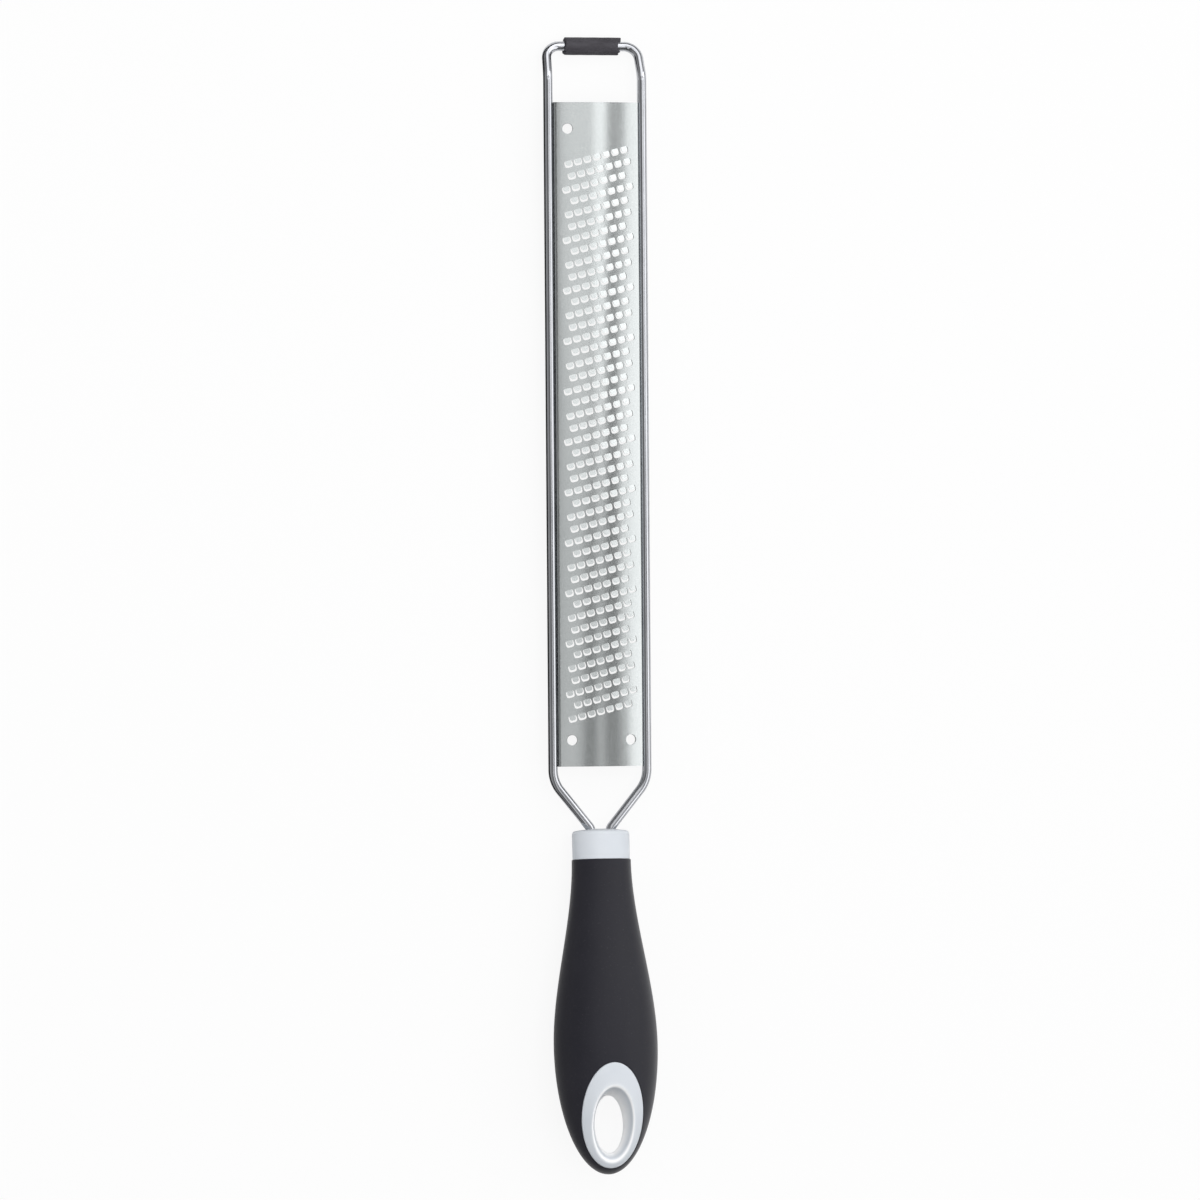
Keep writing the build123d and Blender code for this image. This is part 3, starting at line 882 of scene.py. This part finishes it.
def make_core():
    """The collar, and the eyelet's two halves, which meet at the waist and at the outer wall's middle."""
    core = Surfaces()
    collar = collar_net()
    core.grid(seat_on_wires(collar), 0 * collar, closed_columns=True)
    for side, mouth in ((1, front_mouth), (-1, back_mouth)):
        points, tags = eyelet_net(mouth, side)
        core.grid(seat_on_wires(points), tags, flip=side > 0, closed_columns=True)
    return core.piece("grey_core", "handle_core", grey_moulding(), sharp=40.0, weld=6e-6)


make_wire_frame()
make_blade()
make_foot()
make_core()
make_grip()


# Stage, light and camera
def stage_plane(name, centre, across, along, material, seen=True):
    """A flat sheet of the studio: its corners are the centre plus and minus half of two edge vectors."""
    across, along = np.array(across) / 2, np.array(along) / 2
    corners = [np.array(centre) + a * across + b * along for a, b in ((-1, -1), (1, -1), (1, 1), (-1, 1))]
    mesh = bpy.data.meshes.new(name)
    mesh.from_pydata([tuple(c) for c in corners], [], [(0, 1, 2, 3)])
    mesh.materials.append(material)
    made = bpy.data.objects.new(name, mesh)
    bpy.context.scene.collection.objects.link(made)
    made.visible_camera = seen
    return made


def math_node(tree, operation, *values):
    """What comes out of one calculation on plain values and on links."""
    made = tree.nodes.new("ShaderNodeMath")
    made.operation = operation
    for socket, value in zip(made.inputs, values):
        feed(tree, socket, value)
    return made.outputs[0]


def pale_floor():
    """Pale board that is seen nearly white, with the tool's shadow left faintly on it. In what the metal
    mirrors, less of that white is mixed in, so the shadow shows there more."""
    seen_white, mirrored_white, board = 0.9, 0.2, 0.74
    material = bpy.data.materials.new("pale_floor")
    material.use_nodes = True
    tree = material.node_tree
    tree.nodes.clear()
    path = tree.nodes.new("ShaderNodeLightPath").outputs
    seen = math_node(tree, "MULTIPLY", path["Is Camera Ray"], seen_white)
    mirrored_too = math_node(tree, "MAXIMUM", path["Is Glossy Ray"], path["Is Transmission Ray"])
    amount = math_node(tree, "MULTIPLY_ADD", mirrored_too, mirrored_white, seen)
    plain = tree.nodes.new("ShaderNodeBsdfDiffuse")
    plain.inputs["Color"].default_value = (board, board, board, 1)
    white = tree.nodes.new("ShaderNodeEmission")
    white.inputs["Strength"].default_value = 1.0
    blend = tree.nodes.new("ShaderNodeMixShader")
    for result, socket in zip((amount, plain.outputs[0], white.outputs[0]), blend.inputs):
        tree.links.new(result, socket)
    out = tree.nodes.new("ShaderNodeOutputMaterial")
    tree.links.new(blend.outputs[0], out.inputs["Surface"])
    return material


stage_plane("floor", (0, 0, -0.0001), (24, 0, 0), (0, 24, 0), pale_floor())


def mirrored_shade_card():
    """Black card, seen only in what the metal mirrors, to the left of the tool: painted shade for the
    floor's shadow that the wires and the blade's flanks mirror.
    """
    material = bpy.data.materials.new("mirrored_shade_card")
    material.use_nodes = True
    shader = material.node_tree.nodes["Principled BSDF"]
    shader.inputs["Base Color"].default_value = (0.02, 0.02, 0.02, 1)
    shader.inputs["Roughness"].default_value = 0.9
    card = stage_plane("mirrored_shade_card", (-0.32, 0.0, 0.001), (0.60, 0, 0), (0, 0.9, 0), material, seen=False)
    # hidden from the camera, from diffuse light and from shadows: only painted shade in reflections
    card.visible_diffuse = card.visible_shadow = card.visible_transmission = False


mirrored_shade_card()


def aim(thing, place, target, up=(0, 1, 0)):
    """Turns a camera or lamp at a place so that it looks at the target with the given way up."""
    away = (Vector(place) - Vector(target)).normalized()
    right = Vector(up).cross(away).normalized()
    facing = Matrix((right, away.cross(right), away)).transposed().to_4x4()
    thing.matrix_world = Matrix.Translation(place) @ facing


lamp_height = 1.3


def lamp(name, place, target, width, length, brightness, mirrored=True, up=(0, 1, 0)):
    """A flat softbox. Its power is its brightness times pi times its area."""
    data = bpy.data.lights.new(name, "AREA")
    data.shape, data.size, data.size_y = "RECTANGLE", width, length
    data.energy = brightness * pi * width * length
    made = bpy.data.objects.new(name, data)
    bpy.context.scene.collection.objects.link(made)
    made.visible_glossy = mirrored
    aim(made, place, target, up)


def aslant(name, middle, width, length, brightness):
    """A softbox that faces straight down and is turned a little, so its edge crosses the blade aslant."""
    lamp(name, (*middle, lamp_height), (*middle, 0), width, length, brightness, up=(0.283, 0.959, 0))


def overhead(name, low, high, brightness, height=lamp_height):
    """A softbox that faces straight down, between two corners (x, y)."""
    middle = [(a + b) / 2 for a, b in zip(low, high)]
    lamp(name, (*middle, height), (*middle, 0), high[0] - low[0], high[1] - low[1], brightness)


aslant("panel_left_far", (-0.020, 0.275), 0.46, 0.36, 0.98)
aslant("panel_left_near", (-0.251, -0.380), 0.39, 1.03, 0.72)
overhead("panel_far_corner", (-0.75, 0.74), (0.10, 2.80), 1.3, 1.32)
aslant("strip_far", (0.368, 0.34), 0.21, 0.54, 1.5)
overhead("strip_near", (0.235, -0.45), (0.345, 0.07), 0.55)
overhead("dim_far", (0.34, 0.17), (0.75, 0.56), 0.3, 1.34)
overhead("dim_near", (0.06, -0.9), (0.72, -0.03), 0.24, 1.34)
overhead("far_panel", (0.11, 0.76), (0.72, 2.80), 1.8, 1.32)
overhead("far_side", (0.72, 0.76), (2.20, 2.80), 0.9, 1.34)
overhead("dim_gap", (-0.75, 0.36), (0.80, 0.80), 0.65, 1.36)
overhead("bright_edge", (0.62, -0.04), (0.77, 0.17), 1.3)
lamp("softbox_right", (1.118, 0.1, 1.0), (0, 0.1, 0), 0.94, 2.2, 1.37)
lamp("fill_left", (-1.2, -0.1, 0.9), (0, -0.1, 0), 1.0, 1.5, 0.85, mirrored=False)
lamp("fill", (0, 0, 1.6), (0, 0, 0), 1.2, 1.2, 2.6, mirrored=False)


def studio_world():
    """Dim walls: their brightness is a little plus the square of how far the direction leans across.
    Seen straight on, past the floor's far end, they are as white as the floor."""
    side_walls, ceiling = 0.35, 0.09
    world = bpy.data.worlds.new("studio")
    bpy.context.scene.world = world
    world.use_nodes = True
    tree = world.node_tree
    parts = tree.nodes.new("ShaderNodeSeparateXYZ")
    tree.links.new(tree.nodes.new("ShaderNodeTexCoord").outputs["Generated"], parts.inputs[0])
    square = math_node(tree, "MULTIPLY", parts.outputs["X"], parts.outputs["X"])
    strength = math_node(tree, "MULTIPLY_ADD", square, side_walls, ceiling)
    looked_at = tree.nodes.new("ShaderNodeLightPath").outputs["Is Camera Ray"]
    background = tree.nodes["Background"].inputs
    tree.links.new(math_node(tree, "MAXIMUM", strength, looked_at), background["Strength"])
    background["Color"].default_value = (1, 1, 1, 1)


studio_world()
bpy.context.scene.view_settings.view_transform = "Standard"

# The camera stands over the tool's left side, far off, as a long lens does, and turned a little.
camera_lean, camera_turn, distance = radians(13.5), radians(0.44), 3.0
picture_width = 0.408  # of the 1200 pixels, at the tool
picture_down, picture_right = 56.3, 0.44  # from the blade's middle to the picture's
film_width = 36.0
toward = Vector((-sin(camera_lean), 0, cos(camera_lean)))
across = Vector((cos(camera_lean), 0, sin(camera_lean)))
looked_at = Vector((0, (blade_middle - picture_down) * MM, wire_level * MM)) + across * picture_right * MM
camera_data = bpy.data.cameras.new("camera")
camera_data.sensor_width = film_width
camera_data.lens = film_width * distance / picture_width
camera_data.clip_end = 20.0
camera = bpy.data.objects.new("camera", camera_data)
bpy.context.scene.collection.objects.link(camera)
camera_up = Vector((0, 1, 0)) * cos(camera_turn) + across * sin(camera_turn)
aim(camera, looked_at + toward * distance, looked_at, camera_up)
bpy.context.scene.camera = camera
